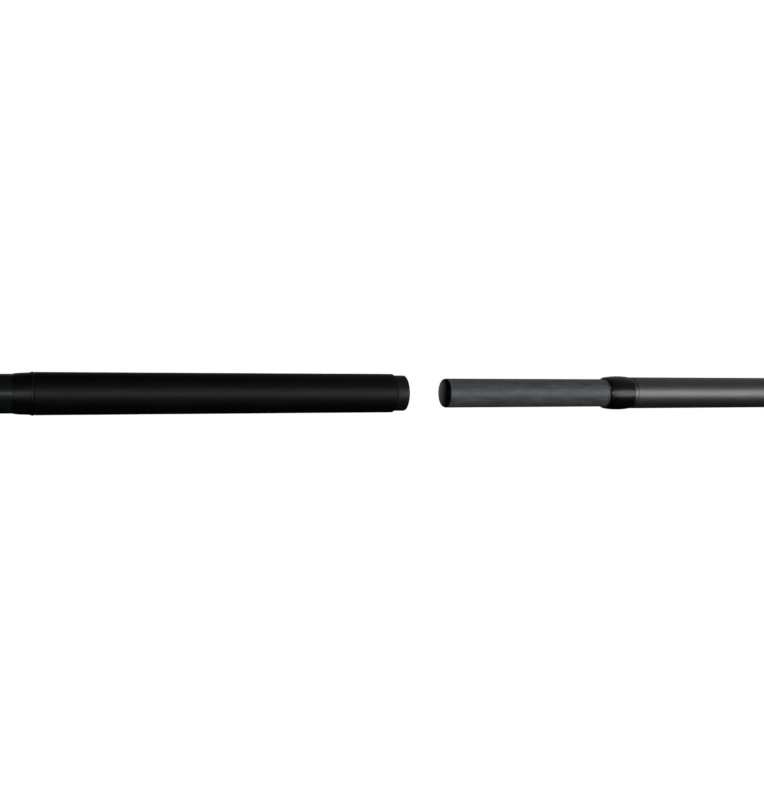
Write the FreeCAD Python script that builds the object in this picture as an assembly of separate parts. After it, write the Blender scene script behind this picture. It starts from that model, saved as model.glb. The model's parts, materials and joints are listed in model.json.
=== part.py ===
import FreeCAD, Part
import math
import os

# Boom pole for a microphone, shown with its handle section pulled off its upper section.
# Millimetres. The pole's axis is +X, from the butt to the microphone end, and +Z is up.
# The origin is the centre of the butt cap's flat end face.

# ---- tubes: outer radius and wall ----
HANDLE_R = 17.9
HANDLE_WALL = 1.5
MAIN_R = 17.4
INNER_R = 15.2
TIP_R = 13.0
THIN_WALL = 1.2
MAIN_EDGE_FILLET = 0.4
INNER_EDGE_BEVEL = 0.2

# ---- clearances ----
GLUE_GAP = 0.05          # between two pieces that are bonded together
GUIDE_GAP = 0.08         # running clearance of a guide or a collet on its tube
FREE_GAP = 0.3           # between pieces that move past each other without touching

# ---- stations along the axis ----
CAP_LENGTH = 24.0
CAP_FLOOR = 5.0
FERRULE_START = 62.0
GRIP_START = 80.0
GRIP_END = 424.0
HANDLE_END = 423.0
INNER_START = 484.0
INNER_LENGTH = 372.0
MAIN_START = 709.0
MAIN_LENGTH = 508.0
TIP_TUBE_START = 1040.0
TIP_EXPOSED = 12.0

# ---- handle furniture ----
CAP_R = 18.8
CAP_FILLET = 4.5
CAP_BEVEL = 0.5
BUTT_PLUG_LENGTH = 14.0
BUTT_PLUG_WALL = 3.0
BUTT_PLUG_FLOOR = 4.0
GRIP_R = 19.75
FERRULE_NECK_R = 18.3
FERRULE_BODY_R = 19.25
FERRULE_LIP_R = 19.95
FERRULE_LIP = 3.0
FERRULE_NOSE = 14.0
FERRULE_FILLET = 0.4
GRIP_BUTT_FILLET = 0.5
GRIP_MOUTH_FILLET = 0.8

# ---- twist lock of a telescoping section, measured outwards from the end of the outer tube ----
SLEEVE_DEPTH = 28.0
NECK_R = 16.95
NECK_LENGTH = 3.8
NOSE_R = 16.35
NOSE_END = 26.0
COLLET_START = 26.2
COLLET_TAPER = 28.0
COLLET_END = 31.0
COLLET_TIP_R = 15.8
COLLAR_REAR = 4.1
COLLAR_WIDEST = 17.8
COLLAR_FRONT = 34.4
COLLAR_CROWN_R = 18.6
COLLAR_REAR_R = 17.6
COLLAR_FACE_R = 17.1
COLLAR_EDGE = 0.8
WIPER_START = 32.2
WIPER_END = 33.6
WIPER_DEPTH = 1.0

# ---- twist lock of the handle's mouth, measured from the end of the handle tube ----
MOUTH_FLANGE_R = 17.6
MOUTH_FLANGE = 1.2
MOUTH_NOSE_R = 16.55
MOUTH_NOSE_END = 8.0
MOUTH_COLLET_START = 8.2
MOUTH_COLLET_TAPER = 9.5
MOUTH_COLLET_END = 12.2
MOUTH_COLLET_TIP_R = 16.05
MOUTH_RING_R = 18.15
MOUTH_RING_REAR = 1.5
MOUTH_RING_FRONT = 14.5
MOUTH_LIP_FILLET = 2.4
MOUTH_REAR_FILLET = 0.3

# ---- threads and slits ----
THREAD_PITCH = 1.5
THREAD_DEPTH = 0.45
THREAD_RELIEF = 1.0
SLIT_WIDTH = 1.2
SLIT_COUNT = 3
CUT_MARGIN = 1.0         # how far a cutting tool runs past the piece it cuts

# ---- end plug of the inner tube ----
DOME_DEPTH = 5.1
DOME_SHOULDER_R = 3.0
DOME_BASE_R = 15.1
PLUG_SHANK = 14.0
SEAL_SECTION_R = 0.8
SEAL_STATION = 7.0

# ---- guide bushes ----
GUIDE_LENGTH = 20.0
GUIDE_FLANGE = 2.0
GUIDE_GROOVE_DEPTH = 0.3
GUIDE_GROOVE_WIDTH = 3.0
GUIDE_GROOVES = (5.0, 12.0)

# ---- microphone end ----
HEAD_SHANK = 22.0
HEAD_FLANGE = 4.0
HEAD_CONE = 8.0
HEAD_FACE_R = 9.0
HEAD_FILLET = 1.0
STUD_R = 4.7625          # 3/8 inch thread, outside
STUD_ENGAGED_R = 4.25    # inside the head and the nut, where the threads mesh
STUD_OUT = 18.0
STUD_IN = 10.0
STUD_CHAMFER = 0.8
NUT_R = 11.0
NUT_WIDTH = 5.0
NUT_FLUTES = 24
NUT_FLUTE_R = 0.9
NUT_CHAMFER = 0.6

# ---- derived ----
HANDLE_BORE = HANDLE_R - HANDLE_WALL
MAIN_BORE = MAIN_R - THIN_WALL
INNER_BORE = INNER_R - THIN_WALL
TIP_BORE = TIP_R - THIN_WALL
MAIN_END = MAIN_START + MAIN_LENGTH
INNER_END = INNER_START + INNER_LENGTH
TIP_TUBE_END = MAIN_END + COLLAR_FRONT + TIP_EXPOSED
HEAD_FACE = TIP_TUBE_END + HEAD_FLANGE + HEAD_CONE
NUT_START = HEAD_FACE + FREE_GAP
NUT_END = NUT_START + NUT_WIDTH

X_AXIS = FreeCAD.Vector(1, 0, 0)
Z_AXIS = FreeCAD.Vector(0, 0, 1)
ORIGIN = FreeCAD.Vector(0, 0, 0)
EDGE_TOLERANCE = 0.01


def point(x, radius):
    """A point of a turning profile, in the XZ plane."""
    return FreeCAD.Vector(x, 0, radius)


def turned(edges):
    """Solid of revolution about X from a closed loop of profile edges."""
    face = Part.Face(Part.Wire(edges))
    return face.revolve(ORIGIN, X_AXIS, 360)


def turned_polygon(corners):
    """Solid of revolution about X from (x, radius) corners joined by straight lines."""
    closed = [point(*corner) for corner in corners + corners[:1]]
    return turned(Part.makePolygon(closed).Edges)


def rod(x_start, x_end, radius):
    """Plain cylinder along X."""
    return Part.makeCylinder(radius, x_end - x_start, FreeCAD.Vector(x_start, 0, 0), X_AXIS)


def ring(x_start, x_end, outer, inner):
    """Plain tube along X."""
    return turned_polygon([(x_start, inner), (x_end, inner), (x_end, outer), (x_start, outer)])


def rim(shape, x, radius):
    """The circular edge of a turned solid at one station and radius."""
    found = []
    for edge in shape.Edges:
        if not isinstance(edge.Curve, Part.Circle):
            continue
        near_station = abs(edge.Curve.Center.x - x) < EDGE_TOLERANCE
        near_radius = abs(edge.Curve.Radius - radius) < EDGE_TOLERANCE
        if near_station and near_radius:
            found.append(edge)
    return found


def rounded(shape, x, radius, fillet):
    """Rounds one rim of a turned solid."""
    return shape.makeFillet(fillet, rim(shape, x, radius))


def bevelled(shape, x, radius, chamfer):
    """Bevels one rim of a turned solid."""
    return shape.makeChamfer(chamfer, rim(shape, x, radius))


def thread_corners(x_start, x_end, crest):
    """Corners of a row of V-shaped thread rings from x_start to x_end."""
    count = int((x_end - x_start) / THREAD_PITCH)
    corners = []
    for i in range(count):
        root_x = x_start + i * THREAD_PITCH
        corners.append((root_x, crest - THREAD_DEPTH))
        corners.append((root_x + THREAD_PITCH / 2, crest))
    corners.append((x_start + count * THREAD_PITCH, crest - THREAD_DEPTH))
    return corners


def threaded_sleeve(insert_r, bore, flange_r, flange, nose_r, nose_end):
    """Bush bonded into a tube's end at x = 0, with a flange and a threaded nose towards +X."""
    profile = [(-SLEEVE_DEPTH, bore), (-SLEEVE_DEPTH, insert_r), (0, insert_r), (0, flange_r)]
    profile += [(flange, flange_r), (flange, nose_r - THREAD_DEPTH)]
    profile += thread_corners(flange + THREAD_RELIEF, nose_end - THREAD_RELIEF, nose_r)
    profile += [(nose_end, nose_r - THREAD_DEPTH), (nose_end, bore)]
    return turned_polygon(profile)


def split_collet(start, taper, end, base_r, tip_r, bore):
    """Tapered clamp ring with slits open towards its thin end, one of them cut right through."""
    profile = [(start, bore), (end, bore), (end, tip_r), (taper, base_r), (start, base_r)]
    shape = turned_polygon(profile)
    for i in range(SLIT_COUNT):
        slit_start = (start if i == 0 else taper) - CUT_MARGIN
        length = end + CUT_MARGIN - slit_start
        slit = Part.makeBox(length, SLIT_WIDTH, 2 * base_r)
        slit.translate(FreeCAD.Vector(slit_start, -SLIT_WIDTH / 2, 0))
        slit.rotate(ORIGIN, X_AXIS, i * 360 / SLIT_COUNT)
        shape = shape.cut(slit)
    return shape


def lock_sleeve(tube_r):
    """Threaded sleeve of a telescoping lock, for a sliding tube of radius tube_r."""
    return threaded_sleeve(
        MAIN_BORE - GLUE_GAP, tube_r + FREE_GAP, NECK_R, NECK_LENGTH, NOSE_R, NOSE_END
    )


def lock_collet(tube_r):
    """Clamp ring of a telescoping lock."""
    return split_collet(
        COLLET_START, COLLET_TAPER, COLLET_END, NOSE_R, COLLET_TIP_R, tube_r + GUIDE_GAP
    )


def lock_collar(tube_r):
    """Barrel-shaped twist collar: crowned outside, with a cone that closes the collet inside."""
    bore = NOSE_R + FREE_GAP
    hole = tube_r + FREE_GAP
    cone_end = COLLET_END + FREE_GAP
    crown_start = point(COLLAR_REAR, COLLAR_REAR_R)
    crown_top = point(COLLAR_WIDEST, COLLAR_CROWN_R)
    crown_end = point(COLLAR_FRONT - COLLAR_EDGE, COLLAR_FACE_R + COLLAR_EDGE / 4)
    inside = [
        (COLLAR_FRONT, COLLAR_FACE_R),
        (COLLAR_FRONT, hole),
        (WIPER_END, hole),
        (WIPER_END, hole + WIPER_DEPTH),
        (WIPER_START, hole + WIPER_DEPTH),
        (WIPER_START, hole),
        (cone_end, hole),
        (cone_end, COLLET_TIP_R + FREE_GAP),
        (COLLET_TAPER, bore),
        (COLLAR_REAR, bore),
    ]
    corners = [crown_end] + [point(*corner) for corner in inside] + [crown_start]
    edges = Part.makePolygon(corners).Edges
    edges.append(Part.Arc(crown_start, crown_top, crown_end).toShape())
    return turned(edges)


def lock_wiper(tube_r):
    """Felt ring in the collar's front groove, which wipes the sliding tube."""
    return ring(
        WIPER_START + GLUE_GAP,
        WIPER_END - GLUE_GAP,
        tube_r + FREE_GAP + WIPER_DEPTH - GLUE_GAP,
        tube_r + GUIDE_GAP,
    )


def turned_round(shape):
    """Turns a piece end for end about its own origin."""
    flipped = shape.copy()
    flipped.rotate(ORIGIN, Z_AXIS, 180)
    return flipped


def shifted(shape, station):
    """Moves a piece along the axis."""
    moved = shape.copy()
    moved.translate(FreeCAD.Vector(station, 0, 0))
    return moved


def guide_bush(tube_r, tube_bore):
    """Guide on the inner end of a sliding tube, whose end is at x = 0 with the tube on +X."""
    outer = MAIN_BORE - GUIDE_GAP
    profile = [(-GUIDE_FLANGE, tube_bore), (-GUIDE_FLANGE, outer)]
    for start in GUIDE_GROOVES:
        profile.append((start, outer))
        profile.append((start, outer - GUIDE_GROOVE_DEPTH))
        profile.append((start + GUIDE_GROOVE_WIDTH, outer - GUIDE_GROOVE_DEPTH))
        profile.append((start + GUIDE_GROOVE_WIDTH, outer))
    profile += [(GUIDE_LENGTH, outer), (GUIDE_LENGTH, tube_r + GLUE_GAP)]
    profile += [(-GLUE_GAP, tube_r + GLUE_GAP), (-GLUE_GAP, tube_bore)]
    return turned_polygon(profile)


def make_butt_cap():
    """Rubber cup over the butt end of the handle tube."""
    socket = HANDLE_R + GLUE_GAP
    profile = [(0, 0), (0, CAP_R), (CAP_LENGTH, CAP_R), (CAP_LENGTH, socket)]
    profile += [(CAP_FLOOR, socket), (CAP_FLOOR, 0)]
    shape = turned_polygon(profile)
    shape = rounded(shape, 0, CAP_R, CAP_FILLET)
    return bevelled(shape, CAP_LENGTH, CAP_R, CAP_BEVEL)


def make_butt_plug():
    """Hard plug inside the butt end of the handle tube."""
    start = CAP_FLOOR + GLUE_GAP
    end = start + BUTT_PLUG_LENGTH
    plug = rod(start, end, HANDLE_BORE - GLUE_GAP)
    recess = rod(start + BUTT_PLUG_FLOOR, end + CUT_MARGIN, HANDLE_BORE - BUTT_PLUG_WALL)
    return plug.cut(recess)


def make_handle_tube():
    """Handle tube from the butt cap to the mouth."""
    return ring(CAP_FLOOR + GLUE_GAP, HANDLE_END, HANDLE_R, HANDLE_BORE)


def make_grip_ferrule():
    """Tapered boot at the butt end of the grip."""
    bore = HANDLE_R + GLUE_GAP
    lip_start = GRIP_START - FERRULE_LIP
    profile = [
        (FERRULE_START, bore),
        (FERRULE_START, FERRULE_NECK_R),
        (FERRULE_START + FERRULE_NOSE, FERRULE_BODY_R),
        (lip_start, FERRULE_LIP_R),
        (GRIP_START - GLUE_GAP, FERRULE_LIP_R),
        (GRIP_START - GLUE_GAP, bore),
    ]
    shape = turned_polygon(profile)
    return rounded(shape, GRIP_START - GLUE_GAP, FERRULE_LIP_R, FERRULE_FILLET)


def make_grip_sleeve():
    """Long foam grip on the handle tube."""
    shape = ring(GRIP_START, GRIP_END, GRIP_R, HANDLE_R + GLUE_GAP)
    shape = rounded(shape, GRIP_START, GRIP_R, GRIP_BUTT_FILLET)
    return rounded(shape, GRIP_END, GRIP_R, GRIP_MOUTH_FILLET)


def make_mouth_sleeve():
    """Threaded bush bonded into the mouth of the handle tube."""
    shape = threaded_sleeve(
        HANDLE_BORE - GLUE_GAP,
        INNER_R + FREE_GAP,
        MOUTH_FLANGE_R,
        MOUTH_FLANGE,
        MOUTH_NOSE_R,
        MOUTH_NOSE_END,
    )
    return shifted(shape, HANDLE_END)


def make_mouth_collet():
    """Clamp ring in the mouth, which grips the inner tube when the pole is joined."""
    shape = split_collet(
        MOUTH_COLLET_START,
        MOUTH_COLLET_TAPER,
        MOUTH_COLLET_END,
        MOUTH_NOSE_R,
        MOUTH_COLLET_TIP_R,
        INNER_R + GUIDE_GAP,
    )
    return shifted(shape, HANDLE_END)


def make_mouth_ring():
    """Smooth twist ring round the mouth, with a rounded lip."""
    bore = MOUTH_NOSE_R + FREE_GAP
    hole = INNER_R + FREE_GAP
    cone_end = MOUTH_COLLET_END + FREE_GAP
    profile = [
        (MOUTH_RING_REAR, bore),
        (MOUTH_COLLET_TAPER, bore),
        (cone_end, MOUTH_COLLET_TIP_R + FREE_GAP),
        (cone_end, hole),
        (MOUTH_RING_FRONT, hole),
        (MOUTH_RING_FRONT, MOUTH_RING_R),
        (MOUTH_RING_REAR, MOUTH_RING_R),
    ]
    shape = turned_polygon(profile)
    shape = rounded(shape, MOUTH_RING_FRONT, MOUTH_RING_R, MOUTH_LIP_FILLET)
    shape = rounded(shape, MOUTH_RING_REAR, MOUTH_RING_R, MOUTH_REAR_FILLET)
    return shifted(shape, HANDLE_END)


def profile_arc(centre, radius, first, last):
    """Arc of a profile between two angles, counted from -X outwards."""
    points = []
    for angle in (first, (first + last) / 2, last):
        points.append(centre + point(-radius * math.cos(angle), radius * math.sin(angle)))
    return Part.Arc(*points).toShape()


def dome_arcs(tip, base):
    """Flat cap and a rounder shoulder that meet smoothly, and end square to the base."""
    shoulder_rise = DOME_BASE_R - DOME_SHOULDER_R
    spare_depth = DOME_DEPTH - DOME_SHOULDER_R
    cap_r = DOME_SHOULDER_R + (spare_depth**2 + shoulder_rise**2) / (2 * spare_depth)
    turn = math.atan2(shoulder_rise, cap_r - DOME_DEPTH)
    cap = profile_arc(point(tip + cap_r, 0), cap_r, 0, turn)
    shoulder = profile_arc(point(base, shoulder_rise), DOME_SHOULDER_R, turn, math.pi / 2)
    return [cap, shoulder]


def make_end_plug():
    """Domed plug in the free end of the inner tube, with a groove for its seal."""
    base = INNER_START - GLUE_GAP
    tip = base - DOME_DEPTH
    shank_r = INNER_BORE - GLUE_GAP
    groove_floor = shank_r - 2 * SEAL_SECTION_R
    groove_start = INNER_START + SEAL_STATION - SEAL_SECTION_R - GLUE_GAP
    groove_end = INNER_START + SEAL_STATION + SEAL_SECTION_R + GLUE_GAP
    shank_end = INNER_START + PLUG_SHANK
    corners = [
        (base, DOME_BASE_R),
        (base, shank_r),
        (groove_start, shank_r),
        (groove_start, groove_floor),
        (groove_end, groove_floor),
        (groove_end, shank_r),
        (shank_end, shank_r),
        (shank_end, 0),
        (tip, 0),
    ]
    edges = Part.makePolygon([point(*corner) for corner in corners]).Edges
    return turned(edges + dome_arcs(tip, base))


def make_plug_seal():
    """O-ring in the end plug's groove."""
    centre_r = INNER_BORE - SEAL_SECTION_R - GLUE_GAP / 2
    centre = FreeCAD.Vector(INNER_START + SEAL_STATION, 0, 0)
    return Part.makeTorus(centre_r, SEAL_SECTION_R - GLUE_GAP, centre, X_AXIS)


def make_inner_tube():
    """Thin sliding tube between the handle and the main tube."""
    shape = ring(INNER_START, INNER_END, INNER_R, INNER_BORE)
    return bevelled(shape, INNER_START, INNER_R, INNER_EDGE_BEVEL)


def make_main_tube():
    """Main tube of the upper section, with a lock at each end."""
    shape = ring(MAIN_START, MAIN_END, MAIN_R, MAIN_BORE)
    shape = rounded(shape, MAIN_START, MAIN_R, MAIN_EDGE_FILLET)
    return rounded(shape, MAIN_END, MAIN_R, MAIN_EDGE_FILLET)


def make_tip_tube():
    """Last sliding tube, which carries the microphone end."""
    return ring(TIP_TUBE_START, TIP_TUBE_END, TIP_R, TIP_BORE)


def make_tip_head():
    """Turned head bonded into the tip tube, with a hole for the stud."""
    shank_start = TIP_TUBE_END - HEAD_SHANK
    profile = [
        (shank_start, 0),
        (shank_start, TIP_BORE - GLUE_GAP),
        (TIP_TUBE_END + GLUE_GAP, TIP_BORE - GLUE_GAP),
        (TIP_TUBE_END + GLUE_GAP, TIP_R),
        (TIP_TUBE_END + HEAD_FLANGE, TIP_R),
        (HEAD_FACE, HEAD_FACE_R),
        (HEAD_FACE, 0),
    ]
    shape = turned_polygon(profile)
    shape = rounded(shape, TIP_TUBE_END + HEAD_FLANGE, TIP_R, HEAD_FILLET)
    socket = rod(HEAD_FACE - STUD_IN, HEAD_FACE + CUT_MARGIN, STUD_ENGAGED_R + GLUE_GAP)
    return shape.cut(socket)


def make_mic_stud():
    """Stud for the microphone mount: the free thread is drawn as its outside cylinder."""
    end = HEAD_FACE + STUD_OUT
    thread_start = NUT_END + FREE_GAP
    engaged = rod(HEAD_FACE - STUD_IN + GLUE_GAP, thread_start, STUD_ENGAGED_R)
    shape = engaged.fuse(rod(thread_start, end, STUD_R))
    return bevelled(shape, end, STUD_R, STUD_CHAMFER)


def make_thumb_nut():
    """Fluted lock nut on the stud."""
    shape = ring(NUT_START, NUT_END, NUT_R, STUD_ENGAGED_R + GUIDE_GAP)
    shape = bevelled(shape, NUT_START, NUT_R, NUT_CHAMFER)
    shape = bevelled(shape, NUT_END, NUT_R, NUT_CHAMFER)
    flutes = []
    for i in range(NUT_FLUTES):
        angle = 2 * math.pi * i / NUT_FLUTES
        flute = rod(NUT_START - CUT_MARGIN, NUT_END + CUT_MARGIN, NUT_FLUTE_R)
        flute.translate(FreeCAD.Vector(0, NUT_R * math.cos(angle), NUT_R * math.sin(angle)))
        flutes.append(flute)
    return shape.cut(Part.makeCompound(flutes))


nodes = {
    "butt_cap": make_butt_cap(),
    "butt_plug": make_butt_plug(),
    "handle_tube": make_handle_tube(),
    "grip_ferrule": make_grip_ferrule(),
    "grip_sleeve": make_grip_sleeve(),
    "mouth_sleeve": make_mouth_sleeve(),
    "mouth_collet": make_mouth_collet(),
    "mouth_ring": make_mouth_ring(),
    "end_plug": make_end_plug(),
    "plug_seal": make_plug_seal(),
    "inner_tube": make_inner_tube(),
    "inner_guide": shifted(turned_round(guide_bush(INNER_R, INNER_BORE)), INNER_END),
    "main_tube": make_main_tube(),
    "lock_sleeve": shifted(turned_round(lock_sleeve(INNER_R)), MAIN_START),
    "lock_collet": shifted(turned_round(lock_collet(INNER_R)), MAIN_START),
    "lock_collar": shifted(turned_round(lock_collar(INNER_R)), MAIN_START),
    "lock_wiper": shifted(turned_round(lock_wiper(INNER_R)), MAIN_START),
    "tip_sleeve": shifted(lock_sleeve(TIP_R), MAIN_END),
    "tip_collet": shifted(lock_collet(TIP_R), MAIN_END),
    "tip_collar": shifted(lock_collar(TIP_R), MAIN_END),
    "tip_wiper": shifted(lock_wiper(TIP_R), MAIN_END),
    "tip_tube": make_tip_tube(),
    "tip_guide": shifted(guide_bush(TIP_R, TIP_BORE), TIP_TUBE_START),
    "tip_head": make_tip_head(),
    "mic_stud": make_mic_stud(),
    "thumb_nut": make_thumb_nut(),
}

os.makedirs("parts", exist_ok=True)
for name, shape in nodes.items():
    assert shape.isValid(), name
    assert len(shape.Solids) == 1, name
    shape.exportStep(f"parts/{name}.step")
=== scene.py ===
import json
import math

import bmesh
import bpy
from mathutils import Matrix, Vector, noise

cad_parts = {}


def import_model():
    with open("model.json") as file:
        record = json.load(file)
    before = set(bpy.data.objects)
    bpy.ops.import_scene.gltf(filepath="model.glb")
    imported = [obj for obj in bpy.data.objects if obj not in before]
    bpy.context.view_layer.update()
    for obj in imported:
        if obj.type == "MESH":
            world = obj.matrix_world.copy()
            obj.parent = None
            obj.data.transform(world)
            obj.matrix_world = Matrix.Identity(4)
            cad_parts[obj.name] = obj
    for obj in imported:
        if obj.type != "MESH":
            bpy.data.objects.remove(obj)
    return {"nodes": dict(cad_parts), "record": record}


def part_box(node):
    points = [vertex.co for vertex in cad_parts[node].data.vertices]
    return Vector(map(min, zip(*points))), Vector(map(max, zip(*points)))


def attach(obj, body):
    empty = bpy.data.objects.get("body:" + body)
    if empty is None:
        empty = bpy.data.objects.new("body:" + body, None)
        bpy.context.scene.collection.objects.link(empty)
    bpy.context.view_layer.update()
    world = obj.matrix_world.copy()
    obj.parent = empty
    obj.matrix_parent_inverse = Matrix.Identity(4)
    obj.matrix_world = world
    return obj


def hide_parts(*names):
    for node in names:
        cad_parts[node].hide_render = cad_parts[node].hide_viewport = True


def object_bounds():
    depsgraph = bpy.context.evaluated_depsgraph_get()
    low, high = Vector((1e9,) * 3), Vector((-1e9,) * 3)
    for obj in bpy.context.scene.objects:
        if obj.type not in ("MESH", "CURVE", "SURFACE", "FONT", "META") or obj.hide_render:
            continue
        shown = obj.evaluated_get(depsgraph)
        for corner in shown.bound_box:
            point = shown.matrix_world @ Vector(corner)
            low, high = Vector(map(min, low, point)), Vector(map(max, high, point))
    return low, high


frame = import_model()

CAD_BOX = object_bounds()
MM = 0.001

# ---- camera ----
LENS_MM = 43.2
SENSOR_MM = 36.0
POLE_LEAN = math.radians(19.44)      # how far the pole turns away from the picture plane
VIEW_DISTANCE = 979.4 * MM
AIM_BEHIND_GRIP_END = 10.5 * MM
CAMERA_PITCH = math.radians(-0.408)
CAMERA_ROLL = math.radians(-0.08)

# ---- light: radiance of each source ----
SKY_BEHIND = 0.23
SKY_FRONT = 0.11
SKY_BACK = 0.13
KEY_LEFT = 3.5
KEY_RIGHT = 2.3
FILL_ABOVE = 0.9
FILL_BELOW = 0.75
FILL_BACK = 2.4

# ---- where the lights stand, in metres, measured from the pole's axis ----
KEY_DISTANCE = 1.3
KEY_SPLIT = 1.15                     # station along the pole where the two key lights meet
KEY_ENDS = (-1.6, 3.2)
KEY_LEFT_HEIGHT = 0.22
KEY_RIGHT_HEIGHT = 0.95
KEY_RIGHT_DROP = 0.1
FILL_LENGTH = 3.0

# ---- floor and surround ----
FLOOR_DROP = 340 * MM
FLOOR_SIZE = 18
SURROUND_R = 14

# ---- mesh fineness ----
SEGMENTS = 144
CORNER_STEPS = 5
LONGEST_STEP = 9 * MM
SUPPORT = 0.25 * MM
LONGEST_ROUNDING = 0.45              # of the shorter run beside a corner
ON_AXIS = 1e-7
SHARP_ANGLE = math.radians(40)

# ---- materials ----
NOISE_LOW = 0.3
NOISE_HIGH = 0.7

# ---- edge roundings and fits of the pieces ----
KEEN = 0.1 * MM
FINE = 0.2 * MM
SOFT = 0.3 * MM
GLUE_GAP = 0.05 * MM
NUT_FIT = 0.08 * MM


# ======================================================================================
# Turned shapes
# ======================================================================================

def span(node):
    """Start and end of a CAD node along the pole's axis, and its outer radius."""
    low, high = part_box(node)
    return low.x, high.x, high.z


def bore(node):
    """Smallest radius of a CAD node about the pole's axis."""
    return min(math.hypot(v.co.y, v.co.z) for v in frame["nodes"][node].data.vertices)


def round_corner(before, corner, after, radius):
    """Points of an arc of that radius which replaces a corner."""
    to_before = (before - corner).normalized()
    to_after = (after - corner).normalized()
    half = to_before.angle(to_after) / 2
    reach = radius / math.tan(half)
    longest = LONGEST_ROUNDING * min((before - corner).length, (after - corner).length)
    if reach > longest:
        radius *= longest / reach
        reach = longest
    centre = corner + (to_before + to_after).normalized() * (radius / math.sin(half))
    first = corner + to_before * reach - centre
    last = corner + to_after * reach - centre
    turn = first.angle_signed(last)
    points = []
    for i in range(CORNER_STEPS + 1):
        arm = first.copy()
        arm.rotate(Matrix.Rotation(-turn * i / CORNER_STEPS, 2))
        points.append(centre + arm)
    return points


def outline(corners, closed):
    """Profile points from (x, radius, rounding) corners: arcs at the corners, long runs divided."""
    flat = [Vector((c[0], c[1])) for c in corners]
    count = len(flat)
    points = []
    for i, here in enumerate(flat):
        rounding = corners[i][2] if len(corners[i]) > 2 else 0
        inner = closed or 0 < i < count - 1
        if rounding and inner:
            points += round_corner(flat[i - 1], here, flat[(i + 1) % count], rounding)
        else:
            points.append(here)
    return divided(points, closed)


def divided(points, closed):
    """Adds a support point near both ends of every run, and divides the long ones."""
    result = []
    count = len(points)
    for i in range(count if closed else count - 1):
        start = points[i]
        end = points[(i + 1) % count]
        run = end - start
        result.append(start)
        if run.length > 4 * SUPPORT:
            step = run.normalized() * SUPPORT
            result.append(start + step)
            pieces = int(run.length / LONGEST_STEP)
            result += [start + run * k / (pieces + 1) for k in range(1, pieces + 1)]
            result.append(end - step)
    if not closed:
        result.append(points[-1])
    return result


def lathe(name, points, closed, wobble=None, segments=SEGMENTS):
    """Mesh piece made by turning a profile about the pole's axis."""
    mesh = bmesh.new()
    rings = []
    for x, radius in points:
        if radius < ON_AXIS:
            rings.append([mesh.verts.new((x, 0, 0))])
            continue
        ring = []
        for k in range(segments):
            angle = 2 * math.pi * k / segments
            r = radius + (wobble(x, angle, radius) if wobble else 0)
            ring.append(mesh.verts.new((x, r * math.cos(angle), r * math.sin(angle))))
        rings.append(ring)
    count = len(rings)
    for i in range(count if closed else count - 1):
        join_rings(mesh, rings[i], rings[(i + 1) % count], segments)
    bmesh.ops.recalc_face_normals(mesh, faces=mesh.faces)
    return finished(mesh, name)


def join_rings(mesh, ring_a, ring_b, segments):
    """Faces between two neighbouring rings, or between a ring and a point on the axis."""
    for k in range(segments):
        n = (k + 1) % segments
        if len(ring_a) == 1:
            mesh.faces.new((ring_a[0], ring_b[n], ring_b[k]))
        elif len(ring_b) == 1:
            mesh.faces.new((ring_a[k], ring_a[n], ring_b[0]))
        else:
            mesh.faces.new((ring_a[k], ring_a[n], ring_b[n], ring_b[k]))


def finished(mesh, name):
    """Turns a bmesh into a smooth-shaded object in the scene."""
    data = bpy.data.meshes.new(name)
    mesh.to_mesh(data)
    mesh.free()
    data.shade_smooth()
    data.set_sharp_from_angle(angle=SHARP_ANGLE)
    piece = bpy.data.objects.new(name, data)
    bpy.context.scene.collection.objects.link(piece)
    return piece


def install(piece, node, body, material):
    """Puts a piece in a CAD node's place, on its body, with its material."""
    piece.data.materials.append(material)
    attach(piece, body)
    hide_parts(node)
    return piece


# ======================================================================================
# Materials
# ======================================================================================

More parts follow.
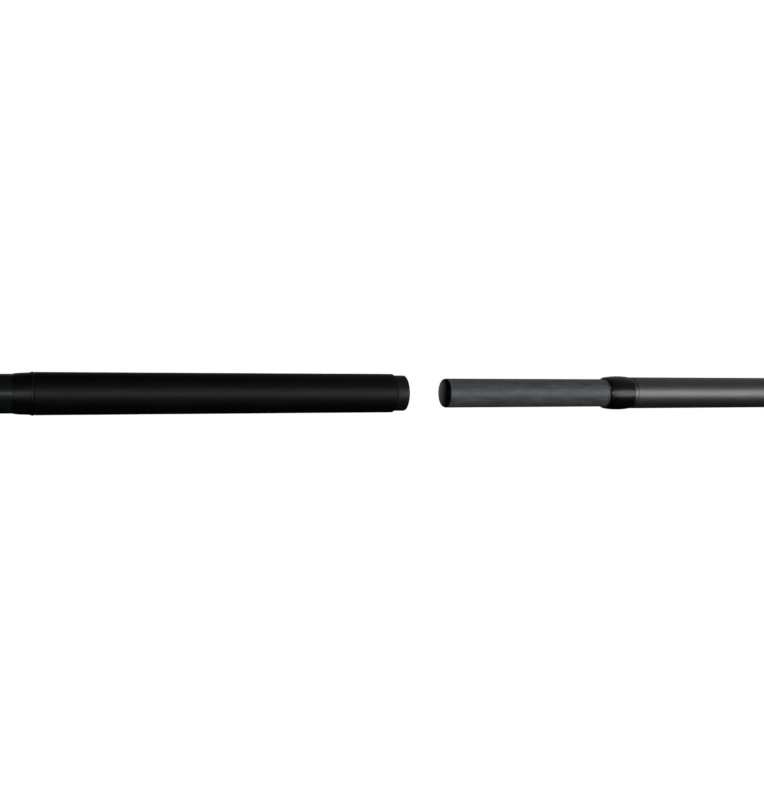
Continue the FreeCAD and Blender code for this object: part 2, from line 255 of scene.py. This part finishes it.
class Graph:
    """A material with a Principled shader, and short calls for the nodes that feed it."""

    def __init__(self, name):
        self.material = bpy.data.materials.new(name)
        self.material.use_nodes = True
        self.tree = self.material.node_tree
        self.shader = self.tree.nodes["Principled BSDF"]
        self.place = self.tree.nodes.new("ShaderNodeTexCoord").outputs["Object"]

    def set(self, **values):
        """Values of the shader's own sockets, with _ for a space in a name."""
        for key, value in values.items():
            self.shader.inputs[key.replace("_", " ")].default_value = value

    def feed(self, output, key):
        """Links an output to one of the shader's sockets."""
        self.tree.links.new(output, self.shader.inputs[key])

    def scaled(self, scale):
        """Object coordinates times (x, y, z)."""
        node = self.tree.nodes.new("ShaderNodeMapping")
        node.inputs["Scale"].default_value = scale
        self.tree.links.new(self.place, node.inputs["Vector"])
        return node.outputs["Vector"]

    def noise(self, scale, detail=3.0, roughness=0.55):
        """Noise with scale cycles per metre along each axis."""
        node = self.tree.nodes.new("ShaderNodeTexNoise")
        node.inputs["Scale"].default_value = 1.0
        node.inputs["Detail"].default_value = detail
        node.inputs["Roughness"].default_value = roughness
        self.tree.links.new(self.scaled(scale), node.inputs["Vector"])
        return node.outputs["Fac"]

    def cells(self, scale):
        """Distance to the nearest of randomly placed points, with scale of them per metre."""
        node = self.tree.nodes.new("ShaderNodeTexVoronoi")
        node.inputs["Scale"].default_value = 1.0
        self.tree.links.new(self.scaled(scale), node.inputs["Vector"])
        return node.outputs["Distance"]

    def along(self):
        """Position along the pole's axis, in metres."""
        node = self.tree.nodes.new("ShaderNodeSeparateXYZ")
        self.tree.links.new(self.place, node.inputs["Vector"])
        return node.outputs["X"]

    def remap(self, value, low, high, to_low, to_high):
        """A range of values mapped to another, and kept inside it."""
        node = self.tree.nodes.new("ShaderNodeMapRange")
        self.tree.links.new(value, node.inputs["Value"])
        node.inputs["From Min"].default_value = low
        node.inputs["From Max"].default_value = high
        node.inputs["To Min"].default_value = to_low
        node.inputs["To Max"].default_value = to_high
        return node.outputs["Result"]

    def spread(self, noise_value, to_low, to_high):
        """The range that a noise mostly keeps to, spread over another range."""
        return self.remap(noise_value, NOISE_LOW, NOISE_HIGH, to_low, to_high)

    def math(self, operation, first, second):
        """Math node between sockets or numbers."""
        node = self.tree.nodes.new("ShaderNodeMath")
        node.operation = operation
        for socket, value in zip(node.inputs, (first, second)):
            if isinstance(value, (int, float)):
                socket.default_value = value
            else:
                self.tree.links.new(value, socket)
        return node.outputs["Value"]

    def mix(self, factor, first, second):
        """Colour between two colours, by a factor socket."""
        node = self.tree.nodes.new("ShaderNodeMix")
        node.data_type = "RGBA"
        self.tree.links.new(factor, node.inputs["Factor"])
        sockets = [s for s in node.inputs if s.type == "RGBA"]
        for socket, value in zip(sockets, (first, second)):
            if isinstance(value, tuple):
                socket.default_value = (*value, 1.0)
            else:
                self.tree.links.new(value, socket)
        return next(s for s in node.outputs if s.type == "RGBA")

    def bump(self, height, distance, strength=1.0, below=None):
        """Normal bumped by a height, on top of another bump if there is one below."""
        node = self.tree.nodes.new("ShaderNodeBump")
        node.inputs["Strength"].default_value = strength
        node.inputs["Distance"].default_value = distance
        self.tree.links.new(height, node.inputs["Height"])
        if below is not None:
            self.tree.links.new(below, node.inputs["Normal"])
        return node.outputs["Normal"]


def foam_material():
    """Closed-cell foam of the grip: near black, matte, with fine pores and faint handling marks."""
    g = Graph("grip_foam")
    patches = g.noise((22, 60, 60), detail=4)
    colour = g.mix(g.remap(patches, 0.35, 0.7, 0, 1), (0.0004, 0.0004, 0.0004), (0.0008, 0.0008, 0.0008))
    g.feed(colour, "Base Color")
    g.feed(g.spread(patches, 0.48, 0.52), "Roughness")
    pores = g.cells((2600, 2600, 2600))
    grain = g.noise((1500, 1500, 1500), detail=2)
    fine = g.bump(pores, 0.03 * MM, 0.5)
    g.feed(g.bump(grain, 0.03 * MM, 0.5, fine), "Normal")
    g.set(Specular_IOR_Level=0.42)
    return g.material


def boot_material():
    """Moulded boot: purplish black, satin, with a fine moulded grain."""
    g = Graph("boot_black")
    patches = g.noise((90, 90, 90))
    colour = g.mix(g.spread(patches, 0, 1), (0.0009, 0.0007, 0.0013), (0.0016, 0.0013, 0.0024))
    g.feed(colour, "Base Color")
    g.feed(g.spread(patches, 0.38, 0.44), "Roughness")
    g.feed(g.bump(g.noise((1800, 1800, 1800), detail=2), 0.02 * MM, 0.4), "Normal")
    return g.material


def handle_material():
    """Coated handle tube: greenish black, satin, with faint drawn lines and dust."""
    g = Graph("handle_black")
    lines = g.noise((8, 1400, 1400), detail=3)
    clouds = g.noise((40, 70, 70))
    colour = g.mix(g.spread(clouds, 0, 1), (0.0031, 0.0053, 0.0051), (0.0046, 0.0073, 0.0071))
    g.feed(colour, "Base Color")
    g.feed(g.spread(lines, 0.30, 0.38), "Roughness")
    g.feed(g.bump(lines, 0.008 * MM, 0.4), "Normal")
    return g.material


def ring_material():
    """Dark anodised ring, turned, with fine lines round it and a cloudy tone."""
    g = Graph("ring_anodised")
    turning = g.noise((5200, 40, 40), detail=2)
    clouds = g.noise((160, 160, 160))
    colour = g.mix(g.remap(clouds, 0.35, 0.7, 0, 1), (0.039, 0.044, 0.042), (0.056, 0.062, 0.060))
    g.feed(colour, "Base Color")
    g.feed(g.spread(turning, 0.44, 0.51), "Roughness")
    g.feed(g.bump(turning, 0.012 * MM, 0.5), "Normal")
    g.set(Metallic=0.9)
    return g.material


def gloss_material():
    """Polished black moulding of the collars and the end plug, with hairline scratches and dust."""
    g = Graph("gloss_black")
    hairlines = g.noise((35, 900, 240), detail=5, roughness=0.7)
    dust = g.cells((900, 900, 900))
    colour = g.mix(g.remap(dust, 0.0, 0.16, 1, 0), (0.0016, 0.0018, 0.0026), (0.010, 0.010, 0.011))
    g.feed(colour, "Base Color")
    g.feed(g.remap(hairlines, 0.35, 0.75, 0.24, 0.34), "Roughness")
    g.feed(g.bump(hairlines, 0.006 * MM, 0.5), "Normal")
    g.set(Specular_IOR_Level=0.68)
    return g.material


def plug_material():
    """End plug: polished black face, dull shoulder, fine scuffs."""
    g = Graph("plug_black")
    start = span("end_plug")[0]
    face = g.remap(g.along(), start + 1.0 * MM, start + 2.2 * MM, 1, 0)
    scuffs = g.noise((300, 420, 420), detail=5)
    colour = g.mix(g.remap(scuffs, 0.4, 0.7, 0, 1), (0.0006, 0.0006, 0.0008), (0.0020, 0.0020, 0.0022))
    g.feed(colour, "Base Color")
    g.feed(g.remap(face, 0, 1, 0.30, 0.15), "Roughness")
    g.feed(g.remap(face, 0, 1, 0.08, 0.80), "Specular IOR Level")
    g.feed(g.bump(scuffs, 0.005 * MM, 0.4), "Normal")
    return g.material


def inner_material():
    """Sliding tubes: dull blue-grey anodising with long rub marks from the collets."""
    g = Graph("inner_alloy")
    marks = g.noise((5, 520, 520), detail=6, roughness=0.62)
    mottle = g.noise((60, 190, 190), detail=4)
    scuffs = g.noise((14, 1500, 1500), detail=2)
    dashes = g.noise((48, 1300, 1300), detail=3, roughness=0.7)
    body = g.mix(g.spread(mottle, 0, 1), (0.092, 0.102, 0.112), (0.150, 0.163, 0.176))
    rubbed = g.mix(g.remap(marks, 0.56, 0.70, 0, 0.6), body, (0.24, 0.25, 0.26))
    g.feed(g.mix(g.remap(dashes, 0.60, 0.70, 0, 0.6), rubbed, (0.045, 0.048, 0.052)), "Base Color")
    rough = g.math("ADD", g.spread(mottle, 0.50, 0.60), g.remap(marks, 0.56, 0.7, 0, -0.12))
    g.feed(rough, "Roughness")
    g.feed(g.bump(scuffs, 0.01 * MM, 0.5), "Normal")
    g.set(Metallic=0.6)
    return g.material


def main_material():
    """Main tube: satin grey anodising with fine drawn lines along it."""
    g = Graph("main_alloy")
    lines = g.noise((6, 2200, 2200), detail=3)
    clouds = g.noise((18, 60, 60), detail=3)
    colour = g.mix(g.spread(clouds, 0, 1), (0.182, 0.187, 0.192), (0.208, 0.213, 0.218))
    g.feed(colour, "Base Color")
    g.feed(g.spread(lines, 0.43, 0.49), "Roughness")
    g.feed(g.bump(lines, 0.006 * MM, 0.5), "Normal")
    g.set(Metallic=0.95)
    return g.material


def rubber_material():
    """Butt cap and seal: black rubber with dusty patches at random."""
    g = Graph("black_rubber")
    dust = g.noise((120, 120, 120), detail=6)
    colour = g.mix(g.remap(dust, 0.45, 0.75, 0, 1), (0.008, 0.008, 0.0085), (0.022, 0.022, 0.021))
    g.feed(colour, "Base Color")
    g.feed(g.spread(dust, 0.62, 0.78), "Roughness")
    g.feed(g.bump(g.noise((2200, 2200, 2200)), 0.03 * MM, 0.5), "Normal")
    return g.material


def black_nylon_material():
    """Guide bushes and butt plug: black nylon, polished where it slides."""
    g = Graph("black_nylon")
    slide = g.noise((10, 800, 800), detail=4)
    colour = g.mix(g.spread(slide, 0, 1), (0.010, 0.010, 0.010), (0.018, 0.018, 0.018))
    g.feed(colour, "Base Color")
    g.feed(g.spread(slide, 0.34, 0.48), "Roughness")
    return g.material


def collet_material():
    """Collets: natural nylon, slightly yellow, greyed by the tubes."""
    g = Graph("collet_nylon")
    soil = g.noise((60, 300, 300), detail=5)
    colour = g.mix(g.remap(soil, 0.4, 0.7, 0, 1), (0.62, 0.60, 0.53), (0.36, 0.35, 0.32))
    g.feed(colour, "Base Color")
    g.feed(g.spread(soil, 0.38, 0.5), "Roughness")
    g.set(Subsurface_Weight=0.1, Subsurface_Scale=1 * MM)
    return g.material


def bush_material():
    """Threaded bushes: plain turned aluminium with tool lines."""
    g = Graph("bush_alloy")
    tool = g.noise((6000, 30, 30), detail=2)
    colour = g.mix(g.spread(tool, 0, 1), (0.17, 0.175, 0.18), (0.24, 0.245, 0.25))
    g.feed(colour, "Base Color")
    g.feed(g.spread(tool, 0.40, 0.50), "Roughness")
    g.feed(g.bump(tool, 0.01 * MM, 0.5), "Normal")
    g.set(Metallic=1.0)
    return g.material


def felt_material():
    """Wiper rings: dark pressed felt."""
    g = Graph("felt")
    fibre = g.noise((2600, 2600, 2600), detail=5)
    colour = g.mix(g.remap(fibre, 0.35, 0.7, 0, 1), (0.02, 0.02, 0.022), (0.07, 0.07, 0.075))
    g.feed(colour, "Base Color")
    g.feed(g.bump(fibre, 0.1 * MM, 0.8), "Normal")
    g.set(Roughness=0.95, Sheen_Weight=0.4)
    return g.material


def steel_material():
    """Microphone stud: turned steel with fine tool marks in its tone and roughness."""
    g = Graph("stud_steel")
    tool = g.noise((3000, 300, 300), detail=3)
    colour = g.mix(g.spread(tool, 0, 1), (0.46, 0.46, 0.47), (0.62, 0.62, 0.62))
    g.feed(colour, "Base Color")
    g.feed(g.spread(tool, 0.22, 0.34), "Roughness")
    g.set(Metallic=1.0)
    return g.material


def head_material():
    """Black anodised head and nut, with paler patches at random."""
    g = Graph("head_anodised")
    turning = g.noise((4200, 30, 30), detail=2)
    rub = g.noise((700, 160, 160), detail=5)
    colour = g.mix(g.remap(rub, 0.40, 0.80, 0, 1), (0.014, 0.015, 0.016), (0.032, 0.032, 0.034))
    g.feed(colour, "Base Color")
    g.feed(g.spread(turning, 0.28, 0.38), "Roughness")
    g.feed(g.bump(turning, 0.01 * MM, 0.5), "Normal")
    g.set(Metallic=0.85)
    return g.material


MATERIALS = {
    "grip_foam": foam_material(),
    "boot_black": boot_material(),
    "handle_black": handle_material(),
    "ring_anodised": ring_material(),
    "gloss_black": gloss_material(),
    "inner_alloy": inner_material(),
    "main_alloy": main_material(),
    "black_rubber": rubber_material(),
    "black_nylon": black_nylon_material(),
    "collet_nylon": collet_material(),
    "bush_alloy": bush_material(),
    "felt": felt_material(),
    "stud_steel": steel_material(),
    "head_anodised": head_material(),
}
SLOT_OF = {row["node"]: row["material_slot"] for row in frame["record"]["subparts"]}


def build(name, node, body, corners, closed=True, wobble=None, segments=SEGMENTS):
    """Turned piece from corners, put in a CAD node's place."""
    piece = lathe(name, outline(corners, closed), closed, wobble, segments)
    slot = SLOT_OF[node]
    return install(piece, node, body, MATERIALS[slot])


def plain_tube(name, node, body, edge):
    """Tube with rounded ends, in place of a CAD tube."""
    start, end, r = span(node)
    inner = bore(node)
    corners = [(start, r, edge), (end, r, edge), (end, inner, edge), (start, inner, edge)]
    return build(name, node, body, corners)


# ======================================================================================
# Handle
# ======================================================================================

def butt_cap():
    """Rubber cap with a dished end face and moulded grooves."""
    start, end, r = span("butt_cap")
    dish = start + 1.2 * MM
    dish_r = r - 8.5 * MM
    rim_r = r - 7.5 * MM
    shoulder = 4.2 * MM
    floor = start + 5 * MM
    tube_wall = 1.5 * MM
    socket = bore("handle_tube") + tube_wall + GLUE_GAP
    grooves = 4
    first = 8 * MM
    spacing = 3.4 * MM
    width = 1.7 * MM
    slope = 0.4 * MM
    groove_r = r - 0.6 * MM
    corners = [(dish, 0), (dish, dish_r, 1 * MM), (start, rim_r, 0.6 * MM), (start, r, shoulder)]
    for k in range(grooves):
        near = start + first + spacing * k
        far = near + width
        corners += [(near, r, SOFT), (near + slope, groove_r, FINE)]
        corners += [(far - slope, groove_r, FINE), (far, r, SOFT)]
    corners += [(end, r, 0.6 * MM), (end, socket, FINE), (floor, socket), (floor, 0)]
    return build("butt_cap_moulded", "butt_cap", "handle", corners, closed=False)


def handle_tube():
    """Tube of the handle."""
    return plain_tube("handle_tube_drawn", "handle_tube", "handle", SOFT)


def grip_boot():
    """Tapered boot with a lip that meets the grip."""
    start, end, lip_r = span("grip_ferrule")
    inner = bore("grip_ferrule")
    neck_r = inner + 0.35 * MM
    taper_start = start + 5 * MM
    taper_start_r = neck_r + 0.55 * MM
    taper_end = end - 4.4 * MM
    taper_end_r = lip_r - 0.75 * MM
    lip_start = end - 2.2 * MM
    corners = [
        (start, inner, KEEN),
        (start, neck_r, SOFT),
        (taper_start, taper_start_r, 3 * MM),
        (taper_end, taper_end_r, 2 * MM),
        (lip_start, lip_r, 1.2 * MM),
        (end, lip_r, 0.9 * MM),
        (end, inner, KEEN),
    ]
    return build("grip_boot_moulded", "grip_ferrule", "handle", corners)


def foam_wobble(x, angle, radius):
    """The foam's slow unevenness, always inwards."""
    along = 24
    around = 1.3
    depth = 0.12 * MM
    spot = Vector((x * along, math.cos(angle) * around, math.sin(angle) * around))
    return -depth * (0.5 + 0.5 * noise.noise(spot))


def grip_foam():
    """Long foam grip with softly rounded ends."""
    start, end, r = span("grip_sleeve")
    inner = bore("grip_sleeve")
    corners = [(start, inner, KEEN), (start, r, 0.8 * MM), (end, r, 1.0 * MM), (end, inner, KEEN)]
    piece = build("grip_foam_sleeve", "grip_sleeve", "handle", corners, wobble=foam_wobble)
    return piece


# ======================================================================================
# Mouth ring, end plug and tubes
# ======================================================================================

def mouth_ring():
    """Twist ring with a rounded lip and a bevelled hole."""
    start, end, r = span("mouth_ring")
    hole = bore("mouth_ring")
    room = hole + 1.3 * MM
    lip_back = end - 2.0 * MM
    lip_rounding = 2.4 * MM
    corners = [
        (start, room, FINE),
        (start, r, 0.5 * MM),
        (end, r, lip_rounding),
        (end, hole, FINE),
        (lip_back, hole, FINE),
        (lip_back, room, FINE),
    ]
    return build("mouth_ring_turned", "mouth_ring", "mouth_lock", corners)


def end_plug():
    """Domed plug: flat cap, rounder shoulder, and a shank inside the tube."""
    tip, end, r = span("end_plug")
    base = span("inner_tube")[0] - GLUE_GAP
    shank = bore("inner_tube") - GLUE_GAP
    shoulder = 3.0 * MM
    rise = r - shoulder
    spare = base - tip - shoulder
    cap = shoulder + (spare**2 + rise**2) / (2 * spare)
    turn = math.atan2(rise, cap - (base - tip))
    steps = 12
    corners = []
    for k in range(steps):
        a = turn * k / steps
        corners.append((tip + cap * (1 - math.cos(a)), cap * math.sin(a)))
    for k in range(steps + 1):
        a = turn + (math.pi / 2 - turn) * k / steps
        corners.append((base - shoulder * math.cos(a), rise + shoulder * math.sin(a)))
    corners += [(base, shank), (end, shank, 0.5 * MM), (end, 0)]
    piece = build("end_plug_domed", "end_plug", "inner", corners, closed=False)
    piece.data.materials[0] = plug_material()
    return piece


def sliding_tube(name, node, body):
    """Thin drawn tube of a sliding section."""
    return plain_tube(name, node, body, 0.25 * MM)


# ======================================================================================
# Twist collars
# ======================================================================================

def twist_collar(name, node, body, faces_butt):
    """Barrel collar: crowned outside, with a front wall round the tube and a bore behind it."""
    low, high, crown = span(node)
    hole = bore(node)
    front, rear = (low, high) if faces_butt else (high, low)
    way = 1 if faces_butt else -1
    length = high - low
    face_r = crown - 1.45 * MM
    rear_r = crown - 1.0 * MM
    room = crown - 1.95 * MM
    cone = 0.5 * MM
    wall = 3.1 * MM
    cone_end = wall + 3.3 * MM
    inset = 0.7 * MM
    widest = 16.6 * MM
    fall = crown - face_r - FINE
    steps = 22

    def at(distance):
        return front + way * distance

    corners = [(at(0), hole, SOFT), (at(0), face_r, 0.25 * MM)]
    for k in range(steps):
        distance = inset + (length - inset) * k / steps
        off = (distance - widest) / (widest - inset)
        corners.append((at(distance), crown - fall * off * off))
    corners += [(rear, rear_r, 0.35 * MM), (rear, room, 0.15 * MM), (at(cone_end), room)]
    corners += [(at(wall), room - cone), (at(wall), hole, FINE)]
    return build(name, node, body, corners)


# ======================================================================================
# Microphone end
# ======================================================================================

def tip_head():
    """Turned head: flange, groove and cone, hollow for the stud."""
    start, end, r = span("tip_head")
    tube_end = span("tip_tube")[1]
    shank = bore("tip_tube") - GLUE_GAP
    socket = bore("thumb_nut") - NUT_FIT + GLUE_GAP
    socket_end = end - 9.5 * MM
    flange = tube_end + 4 * MM
    groove_start = tube_end + 1.6 * MM
    groove_end = groove_start + 0.8 * MM
    groove_r = r - 0.5 * MM
    groove_edge = 0.15 * MM
    cone_r = r - 4 * MM
    corners = [
        (start, 0),
        (start, shank, 0.4 * MM),
        (tube_end, shank),
        (tube_end, r, SOFT),
        (groove_start, r, groove_edge),
        (groove_start, groove_r, KEEN),
        (groove_end, groove_r, KEEN),
        (groove_end, r, groove_edge),
        (flange, r, 1.0 * MM),
        (end, cone_r, 0.6 * MM),
        (end, socket, FINE),
        (socket_end, socket),
        (socket_end, 0),
    ]
    return build("tip_head_turned", "tip_head", "tip", corners, closed=False)


def thread_height(x, angle, pitch):
    """Height of a single-start thread's flank at a place, from 0 at the root to 1 at the crest."""
    root_land = 0.12
    flank = 0.72
    phase = (x / pitch - angle / (2 * math.pi)) % 1.0
    tooth = 1 - abs(2 * phase - 1)
    return min(1.0, max(0.0, (tooth - root_land) / flank))


def mic_stud():
    """Stud with a true helical thread, 16 turns to the inch, plain inside the head and the nut."""
    start, end, r = span("mic_stud")
    engaged = bore("thumb_nut") - NUT_FIT
    thread_start = span("thumb_nut")[1] + 0.2 * MM
    pitch = 25.4 / 16 * MM
    depth = 0.85 * MM
    lead_in = 1.3 * MM
    lead_slope = 0.9
    around = 72
    step = pitch / 12
    mesh = bmesh.new()
    rings = [[mesh.verts.new((start, 0, 0))]]
    stations = [start, thread_start - 2 * step]
    count = int((end - thread_start) / step)
    stations += [thread_start + (end - thread_start) * i / count for i in range(count + 1)]
    for x in stations:
        limit = r - max(0.0, lead_in - (end - x)) * lead_slope
        if x < thread_start + step:
            limit = min(limit, engaged)
        ring = []
        for k in range(around):
            angle = 2 * math.pi * k / around
            thread_r = min(r - depth * (1 - thread_height(x, angle, pitch)), limit)
            ring.append(mesh.verts.new((x, thread_r * math.cos(angle), thread_r * math.sin(angle))))
        rings.append(ring)
    rings.append([mesh.verts.new((end, 0, 0))])
    for ring_a, ring_b in zip(rings, rings[1:]):
        join_rings(mesh, ring_a, ring_b, around)
    bmesh.ops.recalc_face_normals(mesh, faces=mesh.faces)
    slot = SLOT_OF["mic_stud"]
    return install(finished(mesh, "mic_stud_threaded"), "mic_stud", "tip", MATERIALS[slot])


def nut_flutes(rim):
    """Rounded flutes for a nut's rim of that radius."""
    flutes = 24
    depth = 0.75 * MM
    rim_width = 1.2 * MM

    def wobble(x, angle, radius):
        if radius < rim - rim_width:
            return 0
        return -depth * (0.5 - 0.5 * math.cos(flutes * angle)) ** 2

    return wobble


def thumb_nut():
    """Fluted lock nut with bevelled rims and a sunk face."""
    start, end, r = span("thumb_nut")
    hole = bore("thumb_nut")
    bevel = 0.7 * MM
    sunk = end - 0.5 * MM
    rim_inner = r - 2.0 * MM
    sunk_outer = r - 2.4 * MM
    hub = hole + 2.6 * MM
    hub_foot = hub + 0.4 * MM
    edge = 0.15 * MM
    corners = [
        (start, hole, SOFT),
        (start, r - bevel, KEEN),
        (start + bevel, r, FINE),
        (end - bevel, r, FINE),
        (end, r - bevel, KEEN),
        (end, rim_inner, edge),
        (sunk, sunk_outer, edge),
        (sunk, hub_foot, edge),
        (end, hub, edge),
        (end, hole, SOFT),
    ]
    flutes = nut_flutes(r)
    return build("thumb_nut_fluted", "thumb_nut", "nut", corners, wobble=flutes, segments=288)


# ======================================================================================
# Stage, lights and camera
# ======================================================================================

def white_surface(name):
    """Plain bright white for the floor and the surround."""
    g = Graph(name)
    g.set(Base_Color=(0.9, 0.9, 0.9, 1), Roughness=1.0, Emission_Color=(1, 1, 1, 1))
    g.set(Emission_Strength=1.0, Specular_IOR_Level=0.0)
    return g.material


def camera_only(piece):
    """Stage piece that the camera sees, but that neither lights nor shades the object."""
    piece.visible_glossy = False
    piece.visible_diffuse = False
    piece.visible_shadow = False


def stage():
    """Pale floor below the pole, and a white surround."""
    middle = (CAD_BOX[0].x + CAD_BOX[1].x) / 2
    height = CAD_BOX[0].z - FLOOR_DROP
    bpy.ops.mesh.primitive_plane_add(size=FLOOR_SIZE, location=(middle, 0, height))
    plane = bpy.context.object
    plane.name = "floor"
    plane.data.materials.append(white_surface("pale_floor"))
    camera_only(plane)
    bpy.ops.mesh.primitive_uv_sphere_add(
        segments=48, ring_count=24, radius=SURROUND_R, location=(middle, 0, 0)
    )
    dome = bpy.context.object
    dome.name = "surround"
    dome.data.materials.append(white_surface("pale_surround"))
    camera_only(dome)


def world():
    """Weak sky for reflections: one zone behind the pole, and one on the right."""
    made = bpy.data.worlds.new("studio")
    made.use_nodes = True
    tree = made.node_tree
    place = tree.nodes.new("ShaderNodeTexCoord")
    split = tree.nodes.new("ShaderNodeSeparateXYZ")
    tree.links.new(place.outputs["Generated"], split.inputs["Vector"])

    def rise(axis, start, end, top=1.0):
        """0 up to a start along an axis of the direction, then smoothly up to top at its end."""
        node = tree.nodes.new("ShaderNodeMapRange")
        node.interpolation_type = "SMOOTHSTEP"
        tree.links.new(split.outputs[axis], node.inputs["Value"])
        node.inputs["From Min"].default_value = start
        node.inputs["From Max"].default_value = end
        node.inputs["To Max"].default_value = top
        return node.outputs["Result"]

    def combine(operation, first, second=None, number=0.0):
        """Two outputs, or an output and a number, through a math node."""
        node = tree.nodes.new("ShaderNodeMath")
        node.operation = operation
        tree.links.new(first, node.inputs[0])
        if second is None:
            node.inputs[1].default_value = number
        else:
            tree.links.new(second, node.inputs[1])
        return node.outputs["Value"]

    behind = combine("MULTIPLY", rise("Y", 0.55, 0.85, SKY_BEHIND), rise("Z", -0.5, 0.1))
    upper = combine("ADD", rise("Y", -0.2, 0.4, SKY_BACK), number=SKY_FRONT)
    right = combine("MULTIPLY", rise("X", 0.33, 0.42), rise("Z", -0.1, 0.5))
    strength = combine("ADD", behind, combine("MULTIPLY", upper, right))
    background = tree.nodes["Background"]
    background.inputs["Color"].default_value = (1, 1, 1, 1)
    tree.links.new(strength, background.inputs["Strength"])
    bpy.context.scene.world = made


def softbox(name, place, target, length, height, radiance, glossy=True):
    """Long rectangular soft light, parallel to the pole."""
    light = bpy.data.lights.new(name, "AREA")
    light.shape = "RECTANGLE"
    light.size = length
    light.size_y = height
    light.energy = radiance * math.pi * length * height
    holder = bpy.data.objects.new(name, light)
    away = (Vector(place) - Vector(target)).normalized()
    side = Vector((1, 0, 0))
    up = away.cross(side).normalized()
    axes = Matrix((side, up, away)).transposed().to_4x4()
    holder.matrix_world = Matrix.Translation(place) @ axes
    holder.visible_camera = False
    holder.visible_glossy = glossy
    bpy.context.scene.collection.objects.link(holder)


def lights():
    """Key strips level with the pole, and wide fills that only reach the matt surfaces."""
    left = (KEY_SPLIT + KEY_ENDS[0]) / 2
    right = (KEY_SPLIT + KEY_ENDS[1]) / 2
    left_length = KEY_SPLIT - KEY_ENDS[0]
    right_length = KEY_ENDS[1] - KEY_SPLIT
    left_place = (left, -KEY_DISTANCE, 0)
    right_place = (right, -KEY_DISTANCE, -KEY_RIGHT_DROP)
    softbox("key_left", left_place, (left, 0, 0), left_length, KEY_LEFT_HEIGHT, KEY_LEFT)
    softbox("key_right", right_place, (right, 0, 0), right_length, KEY_RIGHT_HEIGHT, KEY_RIGHT)
    middle = (CAD_BOX[0].x + CAD_BOX[1].x) / 2
    fills = (
        ("fill_above", -0.7, 1.4, 1.6, FILL_ABOVE),
        ("fill_below", -0.9, -1.2, 1.2, FILL_BELOW),
        ("fill_back", 1.3, 0.5, 0.8, FILL_BACK),
    )
    for name, y, z, height, radiance in fills:
        softbox(name, (middle, y, z), (middle, 0, 0), FILL_LENGTH, height, radiance, glossy=False)


def camera():
    """Camera at the picture's angle: the pole leans away to the right."""
    data = bpy.data.cameras.new("camera")
    data.lens = LENS_MM
    data.sensor_width = SENSOR_MM
    data.clip_start = 0.01
    holder = bpy.data.objects.new("camera", data)
    aim = Vector((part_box("grip_sleeve")[1].x - AIM_BEHIND_GRIP_END, 0, 0))
    forward = Vector((math.sin(POLE_LEAN), math.cos(POLE_LEAN), 0))
    turn = Matrix.Rotation(-POLE_LEAN, 4, "Z") @ Matrix.Rotation(math.radians(90), 4, "X")
    tilt = Matrix.Rotation(CAMERA_PITCH, 4, "X") @ Matrix.Rotation(CAMERA_ROLL, 4, "Z")
    holder.matrix_world = Matrix.Translation(aim - forward * VIEW_DISTANCE) @ turn @ tilt
    bpy.context.scene.collection.objects.link(holder)
    bpy.context.scene.camera = holder


# ======================================================================================
# Scene
# ======================================================================================

bpy.context.scene.view_settings.view_transform = "Standard"
camera()
world()
stage()
lights()

for node, part in frame["nodes"].items():
    part.data.materials.clear()
    part.data.materials.append(MATERIALS[SLOT_OF[node]])

butt_cap()
handle_tube()
grip_boot()
grip_foam()
mouth_ring()
end_plug()
sliding_tube("inner_tube_drawn", "inner_tube", "inner")
sliding_tube("main_tube_drawn", "main_tube", "main")
sliding_tube("tip_tube_drawn", "tip_tube", "tip")
twist_collar("lock_collar_barrel", "lock_collar", "lock", True)
twist_collar("tip_collar_barrel", "tip_collar", "tip_lock", False)
tip_head()
mic_stud()
thumb_nut()
